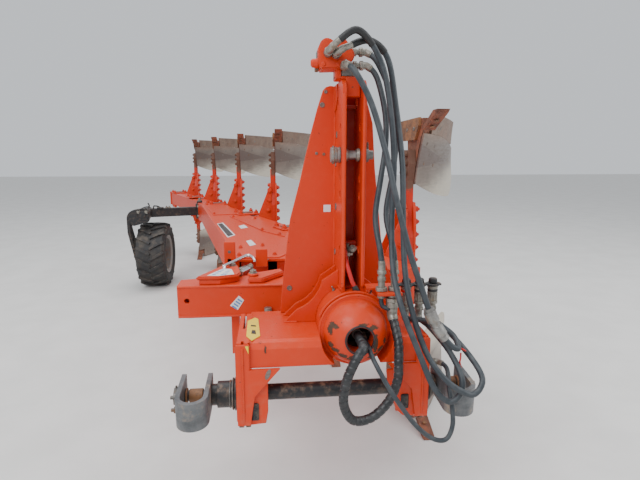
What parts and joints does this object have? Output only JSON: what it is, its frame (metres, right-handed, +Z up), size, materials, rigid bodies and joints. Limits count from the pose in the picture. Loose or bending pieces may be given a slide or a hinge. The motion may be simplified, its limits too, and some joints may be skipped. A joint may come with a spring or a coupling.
{
  "type": "mounted reversible moldboard plough",
  "caption": "Mounted reversible moldboard plough with stepped body pairs on a box beam, a turnover headstock with tower, and a swinging rear depth wheel.",
  "frame": {"origin": "on the floor under the middle of the plough's bounding box, hoses left out", "axes": "+Y runs rearwards along the plough from the hitch to the last body, +X to the right seen from the tractor looking back, +Z up"},
  "size_m": [2.651, 6.1559, 1.839],
  "materials": {
    "orange_paint": "satin enamel, chipped at the edges, faded on top",
    "dark_steel": "dull forged steel with rust at the pins",
    "black_paint": "satin black, dusty",
    "scoured_steel": "soil-scoured, with a dull grey-beige film",
    "rusty_steel": "rust-brown film over ground edges",
    "zinc_plate": "tarnished zinc",
    "chrome_rod": "hard chrome",
    "rim_paint": "dusty grey enamel",
    "tyre_rubber": "dusty natural rubber",
    "hose_rubber": "matt hose cover"
  },
  "bodies": {
    "headstock": {"bearing_housing": "orange_paint", "cross_member": "orange_paint", "cheek_left": "orange_paint", "cheek_right": "orange_paint", "saddle": "orange_paint", "tower_left": "orange_paint", "tower_right": "orange_paint", "tower_wings": "orange_paint", "top_link_pin": "dark_steel", "hitch_shaft": "black_paint", "link_yokes": "dark_steel", "hose_block": "orange_paint", "hose_rack": "orange_paint", "couplers": "zinc_plate", "turnover_barrel": "orange_paint", "hose_a": "hose_rubber", "hose_b": "hose_rubber", "hose_c": "hose_rubber", "hose_e": "hose_rubber", "hose_f": "hose_rubber", "hose_g": "hose_rubber", "hose_wrap": "hose_rubber"},
    "ram_rod": {"turnover_rod": "chrome_rod"},
    "frame": {"turnover_shaft": "dark_steel", "cross_arm": "orange_paint", "carrier": "orange_paint", "turnbuckles": "zinc_plate", "main_beam": "orange_paint", "deck": "orange_paint", "beam_end": "orange_paint", "leg_brackets": "orange_paint", "legs_upper": "orange_paint", "legs_lower": "orange_paint", "frogs_upper": "orange_paint", "frogs_lower": "orange_paint", "boards_upper": "scoured_steel", "boards_lower": "scoured_steel", "shares_upper": "rusty_steel", "shares_lower": "rusty_steel", "points_upper": "rusty_steel", "points_lower": "rusty_steel", "landsides_upper": "scoured_steel", "landsides_lower": "scoured_steel", "wheel_arm": "black_paint"},
    "wheel_leg": {"wheel_leg": "black_paint", "wheel_axle": "zinc_plate"},
    "wheel": {"wheel_hub": "black_paint", "rim": "rim_paint", "tyre": "tyre_rubber"}
  },
  "joints": [
    {"name": "turnover_rod_slide", "type": "slide", "parent": "headstock", "child": "ram_rod", "axis": [-0.229, 0, 0.9734], "range_m": [0, 0.18]},
    {"name": "turnover", "type": "hinge", "parent": "headstock", "child": "frame", "pos_m": [0.4595, -2.5038, 0.82], "axis": [0, 1, 0], "range_deg": [0, 180]},
    {"name": "wheel_swing", "type": "hinge", "parent": "frame", "child": "wheel_leg", "pos_m": [-1.1605, 0.8402, 0.82], "axis": [0, 1, 0], "range_deg": [0, 190]},
    {"name": "wheel_roll", "type": "hinge", "parent": "wheel_leg", "child": "wheel", "pos_m": [-1.1005, 0.9302, 0.35], "axis": [1, 0, 0], "continuous": true}
  ]
}
